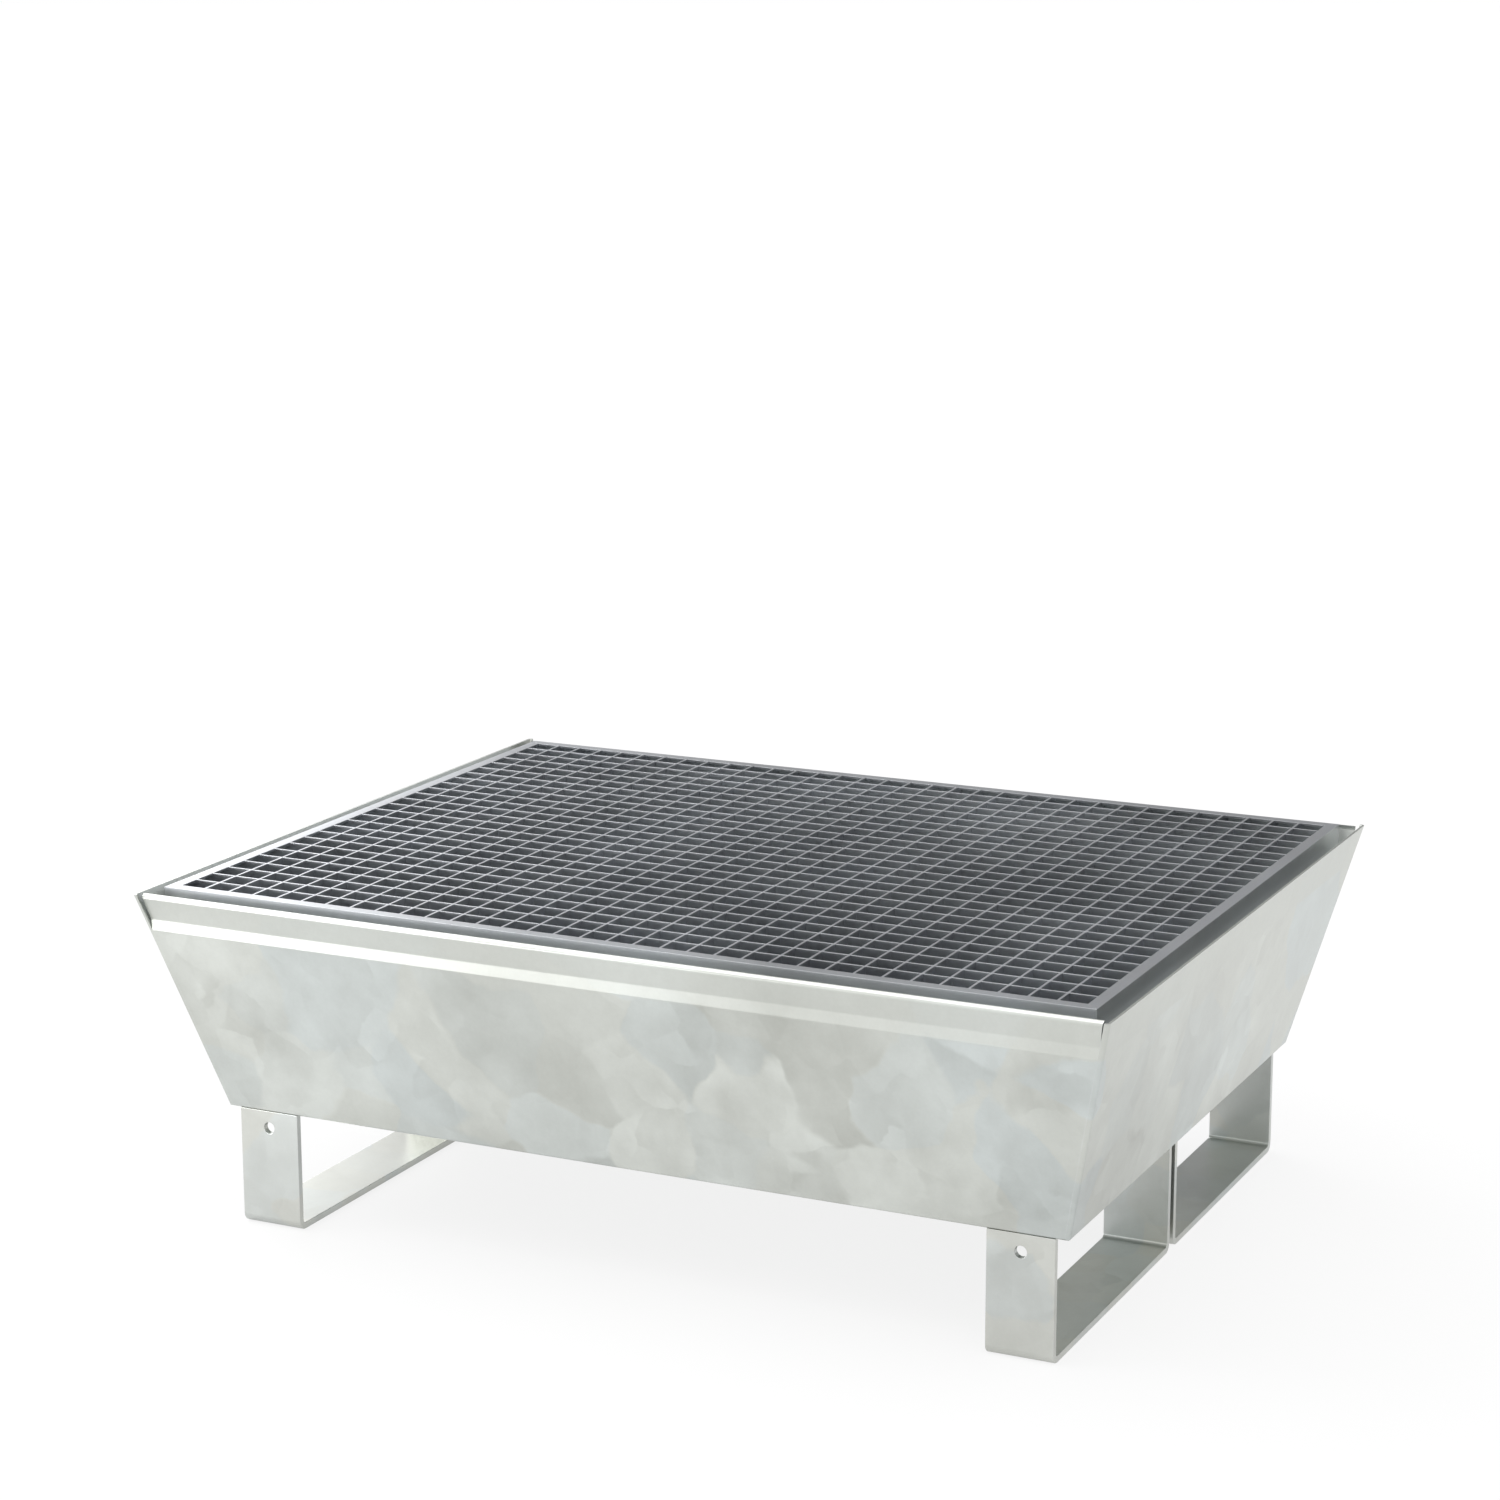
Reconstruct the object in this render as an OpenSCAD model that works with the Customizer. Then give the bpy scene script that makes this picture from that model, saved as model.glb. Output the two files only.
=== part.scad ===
// Two-drum spill containment pallet: a tapered galvanised sump on four bent-strip
// feet, with a lift-out grating that rests on ledges just inside the rim.
// Units are millimetres. +X runs along the long side, -Y is the front, +Z is up,
// and the origin is on the floor under the middle of the pallet.

/* [Tray] */
// Length over the rim, to the outside of the end panels
rim_length = 1212; // [1190:2:1240]
// Width over the end panels at the rim
rim_width = 950; // [940:2:980]
// Length of the tray's underside
base_length = 1074; // [1060:2:1100]
// Width of the tray's underside
base_width = 785; // [760:1:810]
// Height of the rim above the floor
rim_height = 419.5; // [380:0.5:460]
// Thickness of the tray's sheet
sheet = 3; // [2:0.5:4]
// Outer radius of the bent corners between the long and the short walls
corner_radius = 5; // [4:0.5:10]

/* [Rim fold] */
// How far the folded rim is set back from the sloping wall
rim_setback = 5; // [3:0.5:8]
// Height from the top of the rim to the step that sets it back
rim_band = 31; // [24:1:40]
// Height of the sloping step below the rim band
rim_step = 13.5; // [8:0.5:20]
// Depth of the lip that is folded inwards along the top
rim_lip = 7; // [5:0.5:12]
// Width at the top of the open slit at each end of the rim fold
rim_slit = 3.5; // [2:0.5:8]

/* [Feet] */
// Height of the feet, from the floor to the tray's underside
foot_height = 145.5; // [100:0.5:160]
// Width of the flat strip
strip_width = 80; // [60:5:100]
// Thickness of the flat strip
strip = 8; // [5:1:10]
// Outer radius of the strip's bends
strip_bend = 12; // [10:1:20]
// Distance between the outer edges of the left and the right feet
foot_span = 1042; // [960:2:1060]
// Gap between the two feet of one side
foot_gap = 13; // [8:1:40]
// Setback of the outer legs from the edge of the tray's underside
foot_setback = 0.5; // [0:0.5:20]
// Diameter of the hole in each outer leg
leg_hole = 14; // [13:0.5:18]
// Distance of that hole below the tray's underside
leg_hole_drop = 21; // [16:1:40]

/* [Grating] */
// Length of the grating
grating_length = 1162; // [1150:2:1164]
// Width of the grating
grating_width = 890; // [880:2:896]
// Height of the grating's top above the rim
grating_proud = 5; // [2:0.5:10]
// Depth of the bearing bars and of the edge angle
bar_depth = 30; // [25:1:35]
// Thickness of the bearing bars
bar = 3; // [2:0.5:4]
// Depth of the cross bars
cross_depth = 10; // [8:1:12]
// Thickness of the cross bars
cross_bar = 2.5; // [2:0.5:4]
// Number of bearing bars, side by side along the length
bearing_count = 33; // [31:2:33]
// Number of cross bars, side by side along the width
cross_count = 25; // [23:2:25]
// Width of the edge angle's top flange
edge_flange = 15; // [12:1:20]
// Thickness of the edge angle
edge = 3; // [3:0.5:4]

/* [Ledges] */
// Thickness of the ledge bars
ledge = 4; // [3:0.5:5]
// How far the ledges reach under the grating
ledge_reach = 25; // [15:1:40]
// Height of the brackets under the ledges
bracket_height = 50; // [40:1:60]
// Thickness of the brackets
bracket = 4; // [3:0.5:6]

/* [Hidden] */

// Walls: each leans outwards by a fixed amount for every millimetre of height
wall_height = rim_height - foot_height;
lean_x = (rim_length - base_length) / 2 / wall_height;
lean_y = (rim_width - base_width) / 2 / wall_height;
tilt_x = atan(lean_x);
tilt_y = atan(lean_y);
// The edge where an end panel meets a long wall, seen square to the end panel
edge_tilt = atan(lean_y * cos(tilt_x));
// Angle that the sheet turns through at that edge
corner_turn = acos(sin(tilt_x) * sin(tilt_y));
corner_offset = corner_radius * tan(corner_turn / 2);
// The end panels end, and the trough begins, this far in from the corner
seam_inset = corner_radius + 1;
// Outer radius of the bends along the floor, the rim's top and its step
floor_bend = 4;
lip_bend = 5;
step_bend = 3;
// Number of straight steps in each of those bends
bend_steps = 6;
// Overshoot of cutting shapes
over = 20;

band_bottom = rim_height - rim_band;
step_bottom = band_bottom - rim_step;
// Height of the whole fold, band and step
rim_fold = rim_band + rim_step;

// Grating
mesh = 100 / 3;
grating_top = rim_height + grating_proud;
grating_bottom = grating_top - bar_depth;
rest_gap = 0.3;
ledge_top = grating_bottom - rest_gap;
ledge_bottom = ledge_top - ledge;
// Clearance between a ledge's end and what it runs up to
ledge_gap = 1;
long_brackets = 5;
short_brackets = 3;
bracket_pitch = 260;
// Inner ends of the brackets stop short of the ledge's free edge
bracket_inset = 4;

// Feet
foot_length = base_width / 2 - foot_setback - foot_gap / 2;
foot_centre_x = (foot_span - strip_width) / 2;

galvanised = "#cdd0cd";
galvanised_shade = "#b4b8b6";
bar_grey = "#8f9494";

// Outer faces of the walls and the inner faces behind them, at a given height
function wall_x(z) = base_length / 2 + lean_x * (z - foot_height);
function wall_y(z) = base_width / 2 + lean_y * (z - foot_height);
function end_inside(z) = wall_x(z) - sheet / cos(tilt_x);
function wall_inside(z) = wall_y(z) - sheet / cos(tilt_y);
function band_inside(z) = wall_inside(z) - rim_setback;

// Unit normal, to the left of the way from a to b
function left_normal(a, b) = [a[1] - b[1], b[0] - a[0]] / norm(b - a);

// Path moved sideways by d, kept parallel to itself at its corners
function moved_path(path, d) = [
    for (i = [0 : len(path) - 1])
        let (before = left_normal(path[max(i - 1, 0)], path[max(i, 1)]),
             after = left_normal(path[min(i, len(path) - 2)], path[min(i + 1, len(path) - 1)]))
        path[i] + d * (before + after) / (1 + before * after)
];

// Points of the arc that rounds the corner b of the path a, b, c
function corner_arc(a, b, c, radius) =
    let (to_a = (a - b) / norm(a - b),
         to_c = (c - b) / norm(c - b),
         half = acos(to_a * to_c) / 2,
         centre = b + (to_a + to_c) / norm(to_a + to_c) * radius / sin(half),
         start = b + to_a * radius / tan(half) - centre,
         turn = sign(cross(b - a, c - b)) * (180 - 2 * half))
    [for (k = [0 : bend_steps])
        let (angle = turn * k / bend_steps)
        centre + [start[0] * cos(angle) - start[1] * sin(angle),
                  start[0] * sin(angle) + start[1] * cos(angle)]];

// Path with every inner corner rounded; the radii skip the two ends
function rounded_path(path, radii) = [
    path[0],
    for (i = [1 : len(path) - 2])
        each corner_arc(path[i - 1], path[i], path[i + 1], radii[i - 1]),
    path[len(path) - 1]
];

function reversed(list) = [for (i = [len(list) - 1 : -1 : 0]) list[i]];

// Outer face of the folded sheet from the front lip, down, under and up to the rear lip
front_face = [
    [-wall_y(rim_height) + rim_setback + rim_lip, rim_height],
    [-wall_y(rim_height) + rim_setback, rim_height],
    [-wall_y(band_bottom) + rim_setback, band_bottom],
    [-wall_y(step_bottom), step_bottom],
    [-wall_y(foot_height), foot_height]
];
folded_face = concat(front_face, [for (p = reversed(front_face)) [-p[0], p[1]]]);
outer_radii = [lip_bend, step_bend + sheet, step_bend, floor_bend];
inner_radii = [lip_bend - sheet, step_bend, step_bend + sheet, floor_bend - sheet];

module sheet_section() {
    outer = rounded_path(folded_face, concat(outer_radii, reversed(outer_radii)));
    inner = rounded_path(moved_path(folded_face, sheet), concat(inner_radii, reversed(inner_radii)));
    polygon(concat(outer, reversed(inner)));
}

// Shape in the Y-Z plane, drawn along X about the middle
module along_x(length) {
    rotate([90, 0, 90]) linear_extrude(length, center = true) children();
}

// Shape in the X-Z plane, drawn along Y about the middle
module along_y(length) {
    rotate([90, 0, 0]) linear_extrude(length, center = true) children();
}

// Outline of the tray from side to side, moved inwards, with its bends along the floor
function tray_outline(foot, top, inset) =
    rounded_path(moved_path([[-top, rim_height + over], [-foot, foot_height],
                             [foot, foot_height], [top, rim_height + over]], inset),
                 [floor_bend - inset, floor_bend - inset]);

// What is cut off along the leaning edge at the front right to round it
module corner_cutter(inset) {
    reach = 2 * corner_radius;
    translate([base_length / 2, -base_width / 2, foot_height])
        rotate([0, tilt_x, 0])
            rotate([edge_tilt, 0, 0])
                translate([-corner_radius, corner_offset, -over])
                    linear_extrude(wall_height + 3 * over)
                        difference() {
                            polygon([[0, 0], [reach, 0], [reach, -reach * tan(corner_turn / 2)],
                                     reach * [cos(corner_turn), -sin(corner_turn)]]);
                            circle(corner_radius - inset, $fn = 96);
                        }
}

// Tray as a solid block up to its outer faces, or to faces moved inwards,
// with the two corners at its right end rounded
module tray_block(inset) {
    difference() {
        intersection() {
            along_y(2 * rim_width)
                polygon(tray_outline(base_length / 2, wall_x(rim_height + over), inset));
            along_x(2 * rim_length)
                polygon(tray_outline(base_width / 2, wall_y(rim_height + over), inset));
        }
        corner_cutter(inset);
        mirror([0, 1, 0]) corner_cutter(inset);
    }
}

// Right end panel: flat, with its edges bent round the corners and under the floor
module end_panel() {
    intersection() {
        difference() {
            tray_block(0);
            tray_block(sheet);
        }
        along_y(2 * rim_width)
            polygon([[wall_x(foot_height - over) - seam_inset, foot_height - over],
                     [rim_length, foot_height - over],
                     [rim_length, rim_height],
                     [wall_x(rim_height) - seam_inset, rim_height]]);
    }
}

// Floor and long walls in one sheet, cut to the seams, with a slit beside each rim fold
module trough_sheet() {
    color(galvanised)
        intersection() {
            along_x(2 * rim_length) sheet_section();
            along_y(2 * rim_width)
                polygon([
                    for (side = [-1, 1], p = (side < 0 ? [2, 1, 0] : [0, 1, 2]))
                        let (height = [foot_height - over, step_bottom, rim_height + over][p],
                             slit = [0, 0, rim_slit * (1 + over / rim_fold)][p])
                        [side * (wall_x(height) - seam_inset - slit), height]
                ]);
        }
}

module left_end_panel() {
    color(galvanised) mirror([1, 0, 0]) end_panel();
}

module right_end_panel() {
    color(galvanised) end_panel();
}

// Front right foot: one flat strip bent into a U, with a hole in its outer leg
module foot() {
    outer_y = -base_width / 2 + foot_setback;
    inner_y = -foot_gap / 2;
    difference() {
        translate([foot_centre_x, 0, 0])
            along_x(strip_width)
                difference() {
                    union() {
                        translate([outer_y, strip_bend])
                            square([foot_length, foot_height - strip_bend]);
                        translate([outer_y + strip_bend, 0])
                            square([foot_length - 2 * strip_bend, 2 * strip_bend]);
                        for (y = [outer_y + strip_bend, inner_y - strip_bend])
                            translate([y, strip_bend]) circle(strip_bend, $fn = 64);
                    }
                    translate([outer_y + strip, strip_bend])
                        square([foot_length - 2 * strip, foot_height]);
                    translate([outer_y + strip_bend, strip])
                        square([foot_length - 2 * strip_bend, foot_height]);
                    for (y = [outer_y + strip_bend, inner_y - strip_bend])
                        translate([y, strip_bend]) circle(strip_bend - strip, $fn = 64);
                }
        translate([foot_centre_x, outer_y + strip / 2, foot_height - leg_hole_drop])
            rotate([90, 0, 0])
                cylinder(h = 2 * strip, d = leg_hole, center = true, $fn = 48);
    }
}

module front_left_foot() {
    color(galvanised) mirror([1, 0, 0]) foot();
}

module front_right_foot() {
    color(galvanised) foot();
}

module rear_left_foot() {
    color(galvanised) mirror([1, 0, 0]) mirror([0, 1, 0]) foot();
}

module rear_right_foot() {
    color(galvanised) mirror([0, 1, 0]) foot();
}

// Ledge bar along the rear wall; its outer edge lies against the rim band
module long_ledge() {
    inner_y = grating_width / 2 - ledge_reach;
    along_x(2 * (end_inside(ledge_bottom) - corner_radius - ledge_gap))
        polygon([[inner_y, ledge_bottom], [band_inside(ledge_bottom), ledge_bottom],
                 [band_inside(ledge_top), ledge_top], [inner_y, ledge_top]]);
}

// Ledge bar along the right end panel, between the two long ledges
module short_ledge() {
    inner_x = grating_length / 2 - ledge_reach;
    along_y(2 * (grating_width / 2 - ledge_reach - ledge_gap))
        polygon([[inner_x, ledge_bottom], [end_inside(ledge_bottom), ledge_bottom],
                 [end_inside(ledge_top), ledge_top], [inner_x, ledge_top]]);
}

// Brackets under the rear ledge; their outer edge follows the back of the folded sheet
module long_ledge_brackets() {
    inner_y = grating_width / 2 - ledge_reach + bracket_inset;
    bottom = ledge_bottom - bracket_height;
    inside = moved_path(folded_face, sheet);
    step_top_inside = [-inside[2][0], inside[2][1]];
    step_bottom_inside = [-inside[3][0], inside[3][1]];
    for (i = [0 : long_brackets - 1])
        translate([(i - (long_brackets - 1) / 2) * bracket_pitch, 0, 0])
            along_x(bracket)
                polygon([[inner_y, ledge_bottom], [band_inside(ledge_bottom), ledge_bottom],
                         step_top_inside, step_bottom_inside,
                         [wall_inside(bottom), bottom]]);
}

module short_ledge_brackets() {
    inner_x = grating_length / 2 - ledge_reach + bracket_inset;
    bottom = ledge_bottom - bracket_height;
    for (i = [0 : short_brackets - 1])
        translate([0, (i - (short_brackets - 1) / 2) * bracket_pitch, 0])
            along_y(bracket)
                polygon([[inner_x, ledge_bottom], [end_inside(ledge_bottom), ledge_bottom],
                         [end_inside(bottom), bottom]]);
}

module front_ledge() {
    color(galvanised_shade) mirror([0, 1, 0]) long_ledge();
}

module rear_ledge() {
    color(galvanised_shade) long_ledge();
}

module left_ledge() {
    color(galvanised_shade) mirror([1, 0, 0]) short_ledge();
}

module right_ledge() {
    color(galvanised_shade) short_ledge();
}

module front_ledge_brackets() {
    color(galvanised_shade) mirror([0, 1, 0]) long_ledge_brackets();
}

module rear_ledge_brackets() {
    color(galvanised_shade) long_ledge_brackets();
}

module left_ledge_brackets() {
    color(galvanised_shade) mirror([1, 0, 0]) short_ledge_brackets();
}

module right_ledge_brackets() {
    color(galvanised_shade) short_ledge_brackets();
}

// Strip of the grating's edge with mitred ends, along the side at -Y
module mitred_strip(length, width, depth) {
    polygon([[-length / 2, -width / 2], [length / 2, -width / 2],
             [length / 2 - depth, -width / 2 + depth], [-length / 2 + depth, -width / 2 + depth]]);
}

// Edge angle of the grating: an upright leg outside and a flange on top, inwards
module edge_angle(length, width) {
    translate([0, 0, grating_bottom])
        linear_extrude(bar_depth) mitred_strip(length, width, edge);
    translate([0, 0, grating_top - edge])
        linear_extrude(edge) mitred_strip(length, width, edge_flange);
}

module grating_front_edge() {
    color(galvanised_shade) edge_angle(grating_length, grating_width);
}

module grating_rear_edge() {
    color(galvanised_shade) mirror([0, 1, 0]) edge_angle(grating_length, grating_width);
}

module grating_left_edge() {
    color(galvanised_shade) rotate(-90) edge_angle(grating_width, grating_length);
}

module grating_right_edge() {
    color(galvanised_shade) rotate(90) edge_angle(grating_width, grating_length);
}

// Outline of a bar that runs under the edge flange at both ends, with slots in its top
module bar_outline(length, depth, slots) {
    end = length / 2 - edge;
    shoulder = length / 2 - edge_flange;
    polygon(concat(
        [[end, grating_top - depth], [end, grating_top - edge], [shoulder, grating_top - edge],
         [shoulder, grating_top]],
        [for (i = [slots - 1 : -1 : 0])
            let (middle = (i - (slots - 1) / 2) * mesh)
            each [[middle + cross_bar / 2, grating_top],
                  [middle + cross_bar / 2, grating_top - cross_depth],
                  [middle - cross_bar / 2, grating_top - cross_depth],
                  [middle - cross_bar / 2, grating_top]]],
        [[-shoulder, grating_top], [-shoulder, grating_top - edge], [-end, grating_top - edge],
         [-end, grating_top - depth]]));
}

// Bearing bar number i, counted from the left
module bearing_bar(i) {
    color(bar_grey)
        translate([(i - (bearing_count + 1) / 2) * mesh, 0, 0])
            along_x(bar) bar_outline(grating_width, bar_depth, cross_count);
}

module cross_bars() {
    color(bar_grey)
        for (i = [0 : cross_count - 1])
            translate([0, (i - (cross_count - 1) / 2) * mesh, 0])
                along_y(cross_bar) bar_outline(grating_length, cross_depth, 0);
}

trough_sheet();
left_end_panel();
right_end_panel();
front_left_foot();
front_right_foot();
rear_left_foot();
rear_right_foot();
front_ledge();
rear_ledge();
left_ledge();
right_ledge();
front_ledge_brackets();
rear_ledge_brackets();
left_ledge_brackets();
right_ledge_brackets();
grating_front_edge();
grating_rear_edge();
grating_left_edge();
grating_right_edge();
cross_bars();
for (i = [1 : bearing_count])
    bearing_bar(i);
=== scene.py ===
"""Looks of a two-drum spill containment pallet in hot-dip galvanised steel.

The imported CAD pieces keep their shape. They get zinc materials and eased edges, the legs get weld
beads where they meet the tray, and a pale studio stands around them.
"""

import math
import random

import bpy
from mathutils import Matrix, Vector

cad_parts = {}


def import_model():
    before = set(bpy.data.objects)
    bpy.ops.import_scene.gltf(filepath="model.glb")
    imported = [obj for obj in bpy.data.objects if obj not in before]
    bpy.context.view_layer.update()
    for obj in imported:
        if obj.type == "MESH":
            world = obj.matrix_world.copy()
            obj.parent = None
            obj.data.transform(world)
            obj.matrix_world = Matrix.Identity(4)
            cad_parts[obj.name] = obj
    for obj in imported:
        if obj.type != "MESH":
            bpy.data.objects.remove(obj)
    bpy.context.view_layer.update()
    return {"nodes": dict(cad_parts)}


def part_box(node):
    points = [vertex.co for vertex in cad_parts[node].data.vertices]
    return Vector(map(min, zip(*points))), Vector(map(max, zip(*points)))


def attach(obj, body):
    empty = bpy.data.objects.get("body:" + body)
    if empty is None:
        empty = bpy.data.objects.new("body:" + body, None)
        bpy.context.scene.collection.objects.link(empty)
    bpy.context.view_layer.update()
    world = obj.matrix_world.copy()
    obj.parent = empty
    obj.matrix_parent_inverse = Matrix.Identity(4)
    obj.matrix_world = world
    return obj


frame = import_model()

MM = 0.001

# Camera at the viewing angle of the picture: place and reach in metres, turns in degrees, lens and
# sensor in millimetres
CAMERA_PLACE = (1.724, -3.6426, 1.4468)
CAMERA_PITCH = 77.52
CAMERA_YAW = 25.712
CAMERA_ROLL = 0.118
CAMERA_LENS = 81.79
SENSOR = 36.0
CAMERA_REACH = 2000.0

# Floor: half its side, then its grey and its own glow, each for the light on the pallet and for
# the camera
FLOOR_HALF = 600.0
FLOOR_GREY = (0.28, 0.115)
FLOOR_GLOW = (0.52, 0.83)

# Surroundings. A ramp goes from one place on an axis of the unit sphere to another, and gives the
# brightness at each: along X in front of the pallet and behind it, and along Z what is added overhead
FRONT_RAMP = (-0.10, -0.62, 0.92, 1.15)
BACK_RAMP = (-0.46, -0.61, 0.34, 3.1)
OVERHEAD_RAMP = (0.50, 0.90, 0.0, 1.45)
# Along Y, how much of the ramp behind the pallet takes over from the one in front
FRONT_TO_BACK = (-0.3, 0.4, 0.0, 1.0)

# Height of the lower edge of the rim's fold, above which the zinc is plainer
RIM_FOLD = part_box("trough_sheet")[1].z - 44.5 * MM
FOLD_BLUR = 2 * MM
FOLD_PLAIN = 0.2

# Patches in the zinc: large and small ones, each with its shift through the pattern and its share
# in the tone. The size of the small ones is given in large ones
BIG_SHIFT, SMALL_SHIFT = 3.1, 7.7
BIG_SHARE, SMALL_SHARE = 0.72, 0.36
SMALL_SIZE = 0.45
# How far the tone goes past the dark and the light colour, as a share of the step between them
REACH = 0.6
BLUE_TINT = (0.96, 0.99, 1.03, 1.0)
# Lowest roughness
SMOOTHEST = 0.285

# Edges that handling has polished: how wide, what colour, its share at most and how much smoother
WORN_RADIUS = 1.6 * MM
WORN_COLOUR = (222, 225, 226)
WORN_SHARE = 0.5
WORN_GLOSS = 0.04

# Rounding of the sharp edges, and the turns in degrees from which an edge is rounded or stays sharp
FOOT_EASE = 0.9 * MM
SHEET_EASE = 0.35 * MM
EASED_TURN = 35
SHARP_TURN = 32

# Weld beads: radius, distance of each end from the strip's edge, and thickness of the strip
BEAD_RADIUS = 3 * MM
BEAD_INSET = 5 * MM
STRIP = 8 * MM
# Space between rings, sides of a ring, length of a ripple and of the tapered ends
BEAD_RING = 0.8 * MM
BEAD_SIDES = 12
BEAD_RIPPLE = 2.6 * MM
BEAD_TAPER = 2.5 * MM
# Number of rings after which the bead's thickness changes
SWELL_RINGS = 4

scene = bpy.context.scene


# ---------------------------------------------------------------- node helpers

class Nodes:
    """Short calls for one node tree."""

    def __init__(self, tree):
        self.tree = tree

    def add(self, kind, **settings):
        node = self.tree.nodes.new(kind)
        for name, value in settings.items():
            setattr(node, name, value)
        return node

    def put(self, socket, value):
        """Links an output to the socket, or sets the socket's own value."""
        if isinstance(value, bpy.types.NodeSocket):
            self.tree.links.new(value, socket)
        else:
            socket.default_value = value

    def math(self, operation, a, b):
        node = self.add("ShaderNodeMath", operation=operation)
        self.put(node.inputs[0], a)
        self.put(node.inputs[1], b)
        return node.outputs[0]

    def fit(self, value, low, high, to_low=0.0, to_high=1.0, smooth=False):
        """Stretches a value from low..high to to_low..to_high, and holds it there."""
        node = self.add("ShaderNodeMapRange")
        node.interpolation_type = "SMOOTHSTEP" if smooth else "LINEAR"
        for socket, number in zip(node.inputs[:5], (value, low, high, to_low, to_high)):
            self.put(socket, number)
        return node.outputs[0]

    def mix(self, amount, a, b, blend="MIX"):
        node = self.add("ShaderNodeMix", data_type="RGBA", blend_type=blend)
        self.put(node.inputs["Factor"], amount)
        self.put(node.inputs["A"], a)
        self.put(node.inputs["B"], b)
        return node.outputs["Result"]

    def noise(self, where, scale, detail=2.0, roughness=0.5, output="Fac"):
        node = self.add("ShaderNodeTexNoise")
        self.put(node.inputs["Vector"], where)
        self.put(node.inputs["Scale"], scale)
        self.put(node.inputs["Detail"], detail)
        self.put(node.inputs["Roughness"], roughness)
        return node.outputs[output]

    def cells(self, where, scale, softness):
        """A colour of its own for each cell, run together a little at the borders."""
        node = self.add("ShaderNodeTexVoronoi", feature="SMOOTH_F1")
        self.put(node.inputs["Vector"], where)
        self.put(node.inputs["Scale"], scale)
        self.put(node.inputs["Smoothness"], softness)
        return node.outputs["Color"]

    def bent(self, where, scale, amount):
        """Coordinates pushed about by a noise, in metres."""
        push = self.add("ShaderNodeVectorMath", operation="MULTIPLY_ADD")
        self.put(push.inputs[0], self.noise(where, scale, 3.0, output="Color"))
        self.put(push.inputs[1], (amount, amount, amount))
        self.put(push.inputs[2], where)
        return push.outputs[0]

    def bump(self, height, strength, distance, normal=None):
        node = self.add("ShaderNodeBump")
        self.put(node.inputs["Height"], height)
        self.put(node.inputs["Strength"], strength)
        self.put(node.inputs["Distance"], distance)
        if normal is not None:
            self.put(node.inputs["Normal"], normal)
        return node.outputs[0]


def linear(r, g, b):
    """Colour given in the 0 to 255 steps of a screen, as the light it stands for."""
    def one(step):
        value = step / 255
        return value / 12.92 if value <= 0.04045 else ((value + 0.055) / 1.055) ** 2.4
    return (one(r), one(g), one(b), 1.0)


def grey(level):
    return (level, level, level, 1.0)


def principled(name):
    material = bpy.data.materials.new(name)
    material.use_nodes = True
    shader = material.node_tree.nodes["Principled BSDF"]
    return material, Nodes(material.node_tree), shader


# ---------------------------------------------------------------- materials

def patches(n, where, size, shift):
    """Angular patches, each with its own tone and tint, from 0 to 1, with borders that come and go."""
    moved = n.add("ShaderNodeVectorMath", operation="ADD")
    n.put(moved.inputs[0], where)
    n.put(moved.inputs[1], (shift, 0.7 * shift, 0.3 * shift))
    bent = n.bent(n.bent(moved.outputs[0], 0.9 / size, 0.7 * size), 5.0 / size, 0.06 * size)
    tone = n.add("ShaderNodeSeparateColor")
    n.put(tone.inputs[0], n.cells(bent, 1.0 / size, 0.10))
    drift = n.fit(n.noise(moved.outputs[0], 1.5 / size, 2.0), 0.3, 0.7, -0.3, 0.3)
    kept = n.fit(n.noise(moved.outputs[0], 1.1 / size, 1.0), 0.40, 0.60, 0.15, 1.15)
    level = n.math("MULTIPLY", n.math("SUBTRACT", tone.outputs[0], 0.5), kept)
    level = n.math("ADD", level, n.math("MULTIPLY", drift, 0.6))
    return n.math("ADD", level, 0.5), tone.outputs[2]


def below_fold(n, where):
    """1 up to the rim's fold, and FOLD_PLAIN above it."""
    height = n.add("ShaderNodeSeparateXYZ")
    n.put(height.inputs[0], where)
    return n.fit(height.outputs["Z"], RIM_FOLD - FOLD_BLUR, RIM_FOLD + FOLD_BLUR, 1.0, FOLD_PLAIN)


def patch_spread(n, big, small):
    """How far the large and the small patches move the tone from the middle."""
    return n.math("ADD", n.math("MULTIPLY", n.math("SUBTRACT", big, 0.5), BIG_SHARE),
                  n.math("MULTIPLY", n.math("SUBTRACT", small, 0.5), SMALL_SHARE))


def zinc_colour(n, pale, tint, plain, dark, light):
    """Colour by how pale the zinc is, and a little bluer in some patches."""
    beyond = [(b - a) * REACH for a, b in zip(dark, light)]
    darkest = tuple(a - step for a, step in zip(dark, beyond))
    lightest = tuple(b + step for b, step in zip(light, beyond))
    colour = n.mix(n.fit(pale, -REACH, 1 + REACH), darkest, lightest)
    blue = n.math("MULTIPLY", n.fit(tint, 0.40, 0.90), plain)
    return n.mix(blue, colour, BLUE_TINT, "MULTIPLY")


def worn_edges(n, where):
    """Thin broken lines along the edges, where handling has polished them."""
    bevel = n.add("ShaderNodeBevel", samples=2)
    n.put(bevel.inputs["Radius"], WORN_RADIUS)
    turn = n.add("ShaderNodeVectorMath", operation="DOT_PRODUCT")
    n.put(turn.inputs[0], bevel.outputs[0])
    n.put(turn.inputs[1], n.add("ShaderNodeNewGeometry").outputs["Normal"])
    worn = n.fit(turn.outputs["Value"], 0.99, 0.80, 0.0, WORN_SHARE)
    return n.math("MULTIPLY", worn, n.fit(n.noise(where, 45.0, 3.0), 0.35, 0.65))


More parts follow.
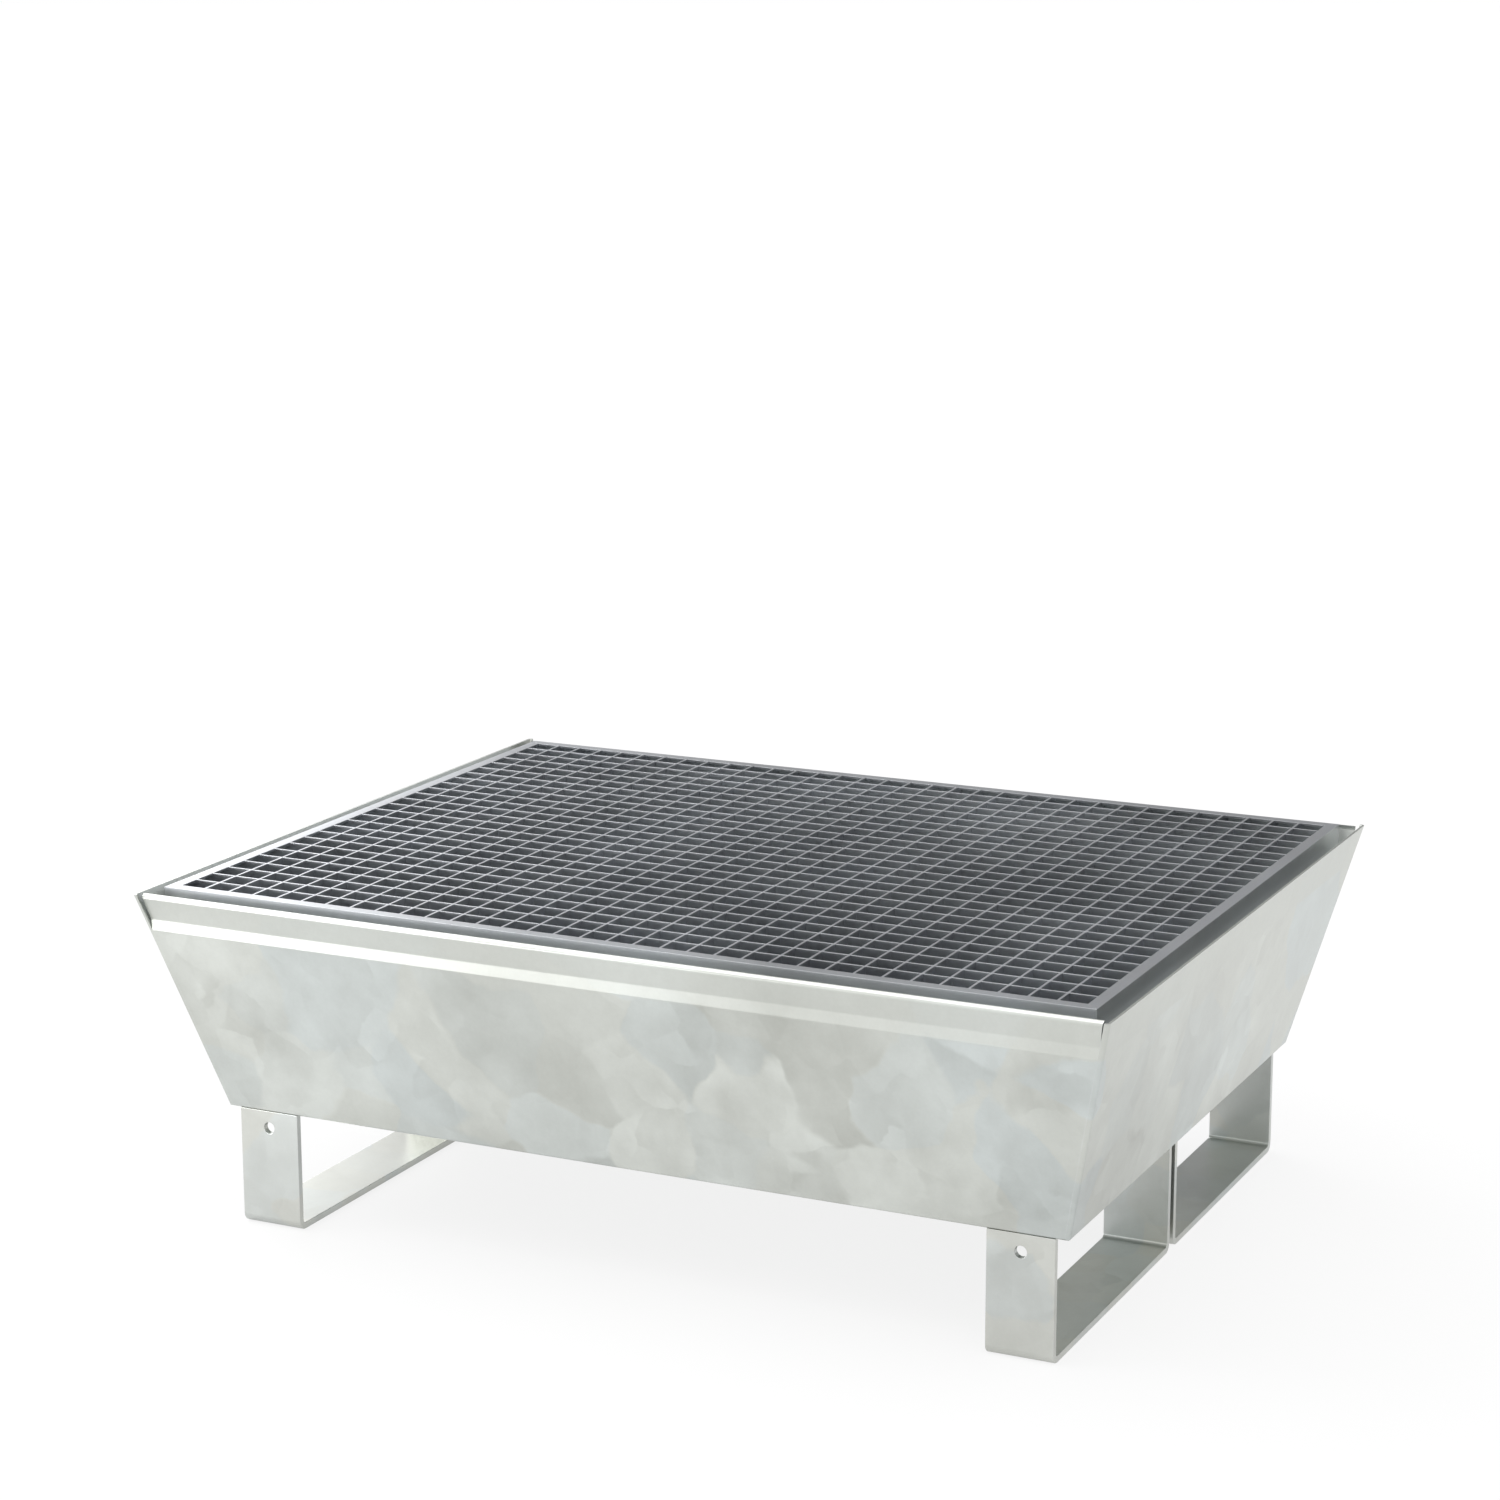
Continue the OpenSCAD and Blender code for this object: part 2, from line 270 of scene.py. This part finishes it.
def galvanised(name, dark, light, patch, roughness, contrast=1.0):
    """Zinc on steel: soft angular patches, fine crystals, faint ripples and paler edges."""
    material, n, shader = principled(name)
    where = n.add("ShaderNodeTexCoord").outputs["Object"]

    big, tint = patches(n, where, patch, BIG_SHIFT)
    small, _ = patches(n, where, SMALL_SIZE * patch, SMALL_SHIFT)
    spread = patch_spread(n, big, small)
    cloud = n.noise(where, 4.0, 4.0, 0.55)
    fine = n.noise(where, 260.0, 3.0, 0.6)
    crystals = n.noise(where, 90.0, 2.0, 0.7)
    plain = below_fold(n, where)
    worn = worn_edges(n, where)

    # How pale the zinc is, from 0 for dark to 1 for light
    strength = n.fit(n.noise(where, 3.0, 2.0), 0.35, 0.65, 0.35 * contrast, contrast)
    strength = n.math("MULTIPLY", strength, plain)
    pale = n.math("ADD", n.math("MULTIPLY", spread, strength), n.fit(cloud, 0.3, 0.7, 0.30, 0.70))
    pale = n.math("ADD", pale, n.fit(n.math("ADD", fine, crystals), 0.7, 1.3, -0.05, 0.05))
    colour = zinc_colour(n, pale, tint, plain, dark, light)
    n.put(shader.inputs["Base Color"], n.mix(worn, colour, linear(*WORN_COLOUR)))

    rough = n.math("ADD", n.math("MULTIPLY", n.math("MULTIPLY", spread, plain), 0.10 * contrast),
                   n.fit(cloud, 0.3, 0.7, roughness - 0.03, roughness + 0.03))
    rough = n.math("SUBTRACT", rough, n.math("MULTIPLY", worn, WORN_GLOSS))
    n.put(shader.inputs["Roughness"], n.math("MAXIMUM", rough, SMOOTHEST))
    shader.inputs["Metallic"].default_value = 1.0

    ripple = n.bump(n.noise(where, 22.0, 1.0, 0.4), 0.10 * contrast, 0.7 * MM)
    grain = n.math("ADD", fine, n.math("MULTIPLY", crystals, 0.6))
    n.put(shader.inputs["Normal"], n.bump(grain, 0.12 * contrast, 0.10 * MM, ripple))
    return material


TRAY_ZINC = galvanised("galvanised_tray", linear(184, 186, 180), linear(219, 222, 217), 0.11, 0.335)
LEDGE_ZINC = galvanised("galvanised_inside", linear(176, 179, 177), linear(206, 209, 208), 0.12, 0.42)
FOOT_ZINC = galvanised("galvanised_foot", linear(190, 191, 185), linear(217, 219, 214), 0.09, 0.335, 0.8)
GRATING_ZINC = galvanised("galvanised_grating", linear(186, 188, 192), linear(208, 211, 215),
                          0.09, 0.32, 0.25)
WELD_ZINC = galvanised("galvanised_weld", linear(168, 170, 164), linear(200, 202, 197), 0.02, 0.36)


def material_of(node):
    if "foot" in node:
        return FOOT_ZINC
    if "ledge" in node:
        return LEDGE_ZINC
    if "panel" in node or "sheet" in node:
        return TRAY_ZINC
    return GRATING_ZINC


# ---------------------------------------------------------------- smooth bends and eased edges

def mesh_group(name):
    """New geometry group for a modifier, with its start and its end."""
    group = bpy.data.node_groups.new(name, "GeometryNodeTree")
    group.interface.new_socket("Geometry", in_out="INPUT", socket_type="NodeSocketGeometry")
    group.interface.new_socket("Geometry", in_out="OUTPUT", socket_type="NodeSocketGeometry")
    return group, group.nodes.new("NodeGroupInput"), group.nodes.new("NodeGroupOutput")


def join_group():
    """Joins the faces of a node at their shared edges, so that edges can be rounded."""
    group, start, end = mesh_group("join_faces")
    merge = group.nodes.new("GeometryNodeMergeByDistance")
    merge.inputs["Distance"].default_value = 0.002 * MM
    group.links.new(start.outputs[0], merge.inputs["Geometry"])
    group.links.new(merge.outputs[0], end.inputs[0])
    return group


def smooth_group():
    """Smooth shading across shallow edges only."""
    group, start, end = mesh_group("smooth_shallow_edges")
    faces = group.nodes.new("GeometryNodeSetShadeSmooth")
    faces.domain = "FACE"
    turn = group.nodes.new("GeometryNodeInputMeshEdgeAngle")
    shallow = group.nodes.new("FunctionNodeCompare")
    shallow.operation = "LESS_THAN"
    shallow.inputs["B"].default_value = math.radians(SHARP_TURN)
    edges = group.nodes.new("GeometryNodeSetShadeSmooth")
    edges.domain = "EDGE"
    group.links.new(start.outputs[0], faces.inputs["Geometry"])
    group.links.new(faces.outputs[0], edges.inputs["Geometry"])
    group.links.new(turn.outputs["Unsigned Angle"], shallow.inputs["A"])
    group.links.new(shallow.outputs[0], edges.inputs["Shade Smooth"])
    group.links.new(edges.outputs[0], end.inputs[0])
    return group


JOIN = join_group()
SMOOTH = smooth_group()


def ease(obj, width):
    """Rounds the sharp edges of a piece by width, in metres."""
    obj.modifiers.new("join", "NODES").node_group = JOIN
    bevel = obj.modifiers.new("ease", "BEVEL")
    bevel.width = width
    bevel.segments = 2
    bevel.limit_method = "ANGLE"
    bevel.angle_limit = math.radians(EASED_TURN)
    bevel.use_clamp_overlap = True
    obj.modifiers.new("smooth", "NODES").node_group = SMOOTH
    flat = obj.modifiers.new("flat", "WEIGHTED_NORMAL")
    flat.mode = "FACE_AREA"
    flat.weight = 100
    flat.keep_sharp = True


for node, obj in frame["nodes"].items():
    obj.data.materials.clear()
    obj.data.materials.append(material_of(node))
    ease(obj, FOOT_EASE if "foot" in node else SHEET_EASE)


# ---------------------------------------------------------------- welds

def mesh_piece(name, points, faces, material, body):
    mesh = bpy.data.meshes.new(name)
    mesh.from_pydata(points, [], faces)
    mesh.polygons.foreach_set("use_smooth", [True] * len(faces))
    mesh.materials.append(material)
    obj = bpy.data.objects.new(name, mesh)
    scene.collection.objects.link(obj)
    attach(obj, body)


def bead_size(t, length, swell):
    """Radius at the share t of a bead's length: rippled, and tapered at both ends."""
    ripple = 1 + 0.07 * math.sin(2 * math.pi * t * length / BEAD_RIPPLE)
    taper = min(1.0, math.sqrt(max(0.02, min(t, 1 - t) * length / BEAD_TAPER)))
    return BEAD_RADIUS * swell * ripple * taper


def weld_bead(name, start, end, body):
    """Rippled bead along a level joint; the half of it that lies inside the steel isn't seen."""
    pick = random.Random(name)
    start, end = Vector(start), Vector(end)
    length = (end - start).length
    along = (end - start).normalized()
    up = Vector((0, 0, 1))
    side = along.cross(up)
    rings = int(length / BEAD_RING)
    points, faces = [], []
    for i in range(rings + 1):
        t = i / rings
        if i % SWELL_RINGS == 0:
            swell = pick.uniform(0.88, 1.08)
        size = bead_size(t, length, swell)
        for k in range(BEAD_SIDES):
            angle = 2 * math.pi * k / BEAD_SIDES
            points.append(start + along * (t * length)
                          + (side * math.cos(angle) + up * math.sin(angle)) * size)
    for i in range(rings):
        for k in range(BEAD_SIDES):
            a, b = i * BEAD_SIDES + k, i * BEAD_SIDES + (k + 1) % BEAD_SIDES
            faces.append((a, b, b + BEAD_SIDES, a + BEAD_SIDES))
    faces.append(tuple(range(BEAD_SIDES))[::-1])
    faces.append(tuple(rings * BEAD_SIDES + k for k in range(BEAD_SIDES)))
    mesh_piece(name, points, faces, WELD_ZINC, body)


def foot_welds():
    """A bead across the inner face of each leg, under the tray."""
    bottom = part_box("trough_sheet")[0].z
    for foot in ("front_left_foot", "front_right_foot", "rear_left_foot", "rear_right_foot"):
        low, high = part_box(foot)
        left, right = low.x + BEAD_INSET, high.x - BEAD_INSET
        for leg, y in (("a", low.y + STRIP), ("b", high.y - STRIP)):
            weld_bead(f"weld_{foot}_{leg}", (left, y, bottom), (right, y, bottom),
                      "tray")


foot_welds()


# ---------------------------------------------------------------- stage

def floor():
    """Pale floor, with one grey and glow for the light on the metal and another for the camera."""
    half = FLOOR_HALF
    mesh = bpy.data.meshes.new("floor")
    corners = [(-half, -half, 0), (half, -half, 0), (half, half, 0), (-half, half, 0)]
    mesh.from_pydata(corners, [], [(0, 1, 2, 3)])
    obj = bpy.data.objects.new("floor", mesh)
    scene.collection.objects.link(obj)
    material, n, shader = principled("studio_floor")
    n.put(shader.inputs["Roughness"], 0.9)
    n.put(shader.inputs["Specular IOR Level"], 0.0)
    n.put(shader.inputs["Emission Color"], grey(1.0))
    seen = n.add("ShaderNodeLightPath").outputs["Is Camera Ray"]
    n.put(shader.inputs["Base Color"], n.mix(seen, *[grey(level) for level in FLOOR_GREY]))
    n.put(shader.inputs["Emission Strength"], n.fit(seen, 0.0, 1.0, *FLOOR_GLOW))
    mesh.materials.append(material)


def world():
    """Soft white surroundings, brighter at the left and overhead, and plain white to the camera."""
    background = bpy.data.worlds.new("studio")
    scene.world = background
    background.use_nodes = True
    n = Nodes(background.node_tree)
    shader = background.node_tree.nodes["Background"]
    shader.inputs["Color"].default_value = grey(1.0)
    where = n.add("ShaderNodeSeparateXYZ")
    n.put(where.inputs[0], n.add("ShaderNodeTexCoord").outputs["Generated"])
    front = n.fit(where.outputs["X"], *FRONT_RAMP, smooth=True)
    back = n.fit(where.outputs["X"], *BACK_RAMP, smooth=True)
    turned = n.fit(where.outputs["Y"], *FRONT_TO_BACK, smooth=True)
    level = n.math("ADD", n.math("MULTIPLY", front, n.math("SUBTRACT", 1.0, turned)),
                   n.math("MULTIPLY", back, turned))
    level = n.math("ADD", level, n.fit(where.outputs["Z"], *OVERHEAD_RAMP, smooth=True))
    seen = n.add("ShaderNodeLightPath").outputs["Is Camera Ray"]
    n.put(shader.inputs["Strength"], n.fit(seen, 0.0, 1.0, level, 1.0))


def area_light(name, place, aim, size, power, lights_floor=True):
    """Soft lamp; without lights_floor it lights only what mirrors it, such as the zinc."""
    data = bpy.data.lights.new(name, "AREA")
    data.shape = "RECTANGLE"
    data.size, data.size_y = size
    data.energy = power
    obj = bpy.data.objects.new(name, data)
    obj.location = place
    obj.rotation_euler = (Vector(aim) - Vector(place)).to_track_quat("-Z", "Y").to_euler()
    obj.visible_diffuse = lights_floor
    scene.collection.objects.link(obj)


def camera():
    data = bpy.data.cameras.new("camera")
    data.sensor_width = SENSOR
    data.lens = CAMERA_LENS
    data.clip_end = CAMERA_REACH
    obj = bpy.data.objects.new("camera", data)
    turn = (Matrix.Rotation(math.radians(CAMERA_YAW), 4, "Z")
            @ Matrix.Rotation(math.radians(CAMERA_PITCH), 4, "X")
            @ Matrix.Rotation(math.radians(-CAMERA_ROLL), 4, "Z"))
    obj.matrix_world = Matrix.Translation(CAMERA_PLACE) @ turn
    scene.collection.objects.link(obj)
    scene.camera = obj


floor()
world()
area_light("key", (-3.2, -1.2, 3.2), (0.0, 0.0, 0.3), (2.6, 2.6), 60.0)
area_light("low_front", (-2.35, -2.9, 0.5), (-0.5, -0.4, 0.38), (1.7, 0.9), 20.0, lights_floor=False)
camera()
scene.view_settings.view_transform = "Standard"
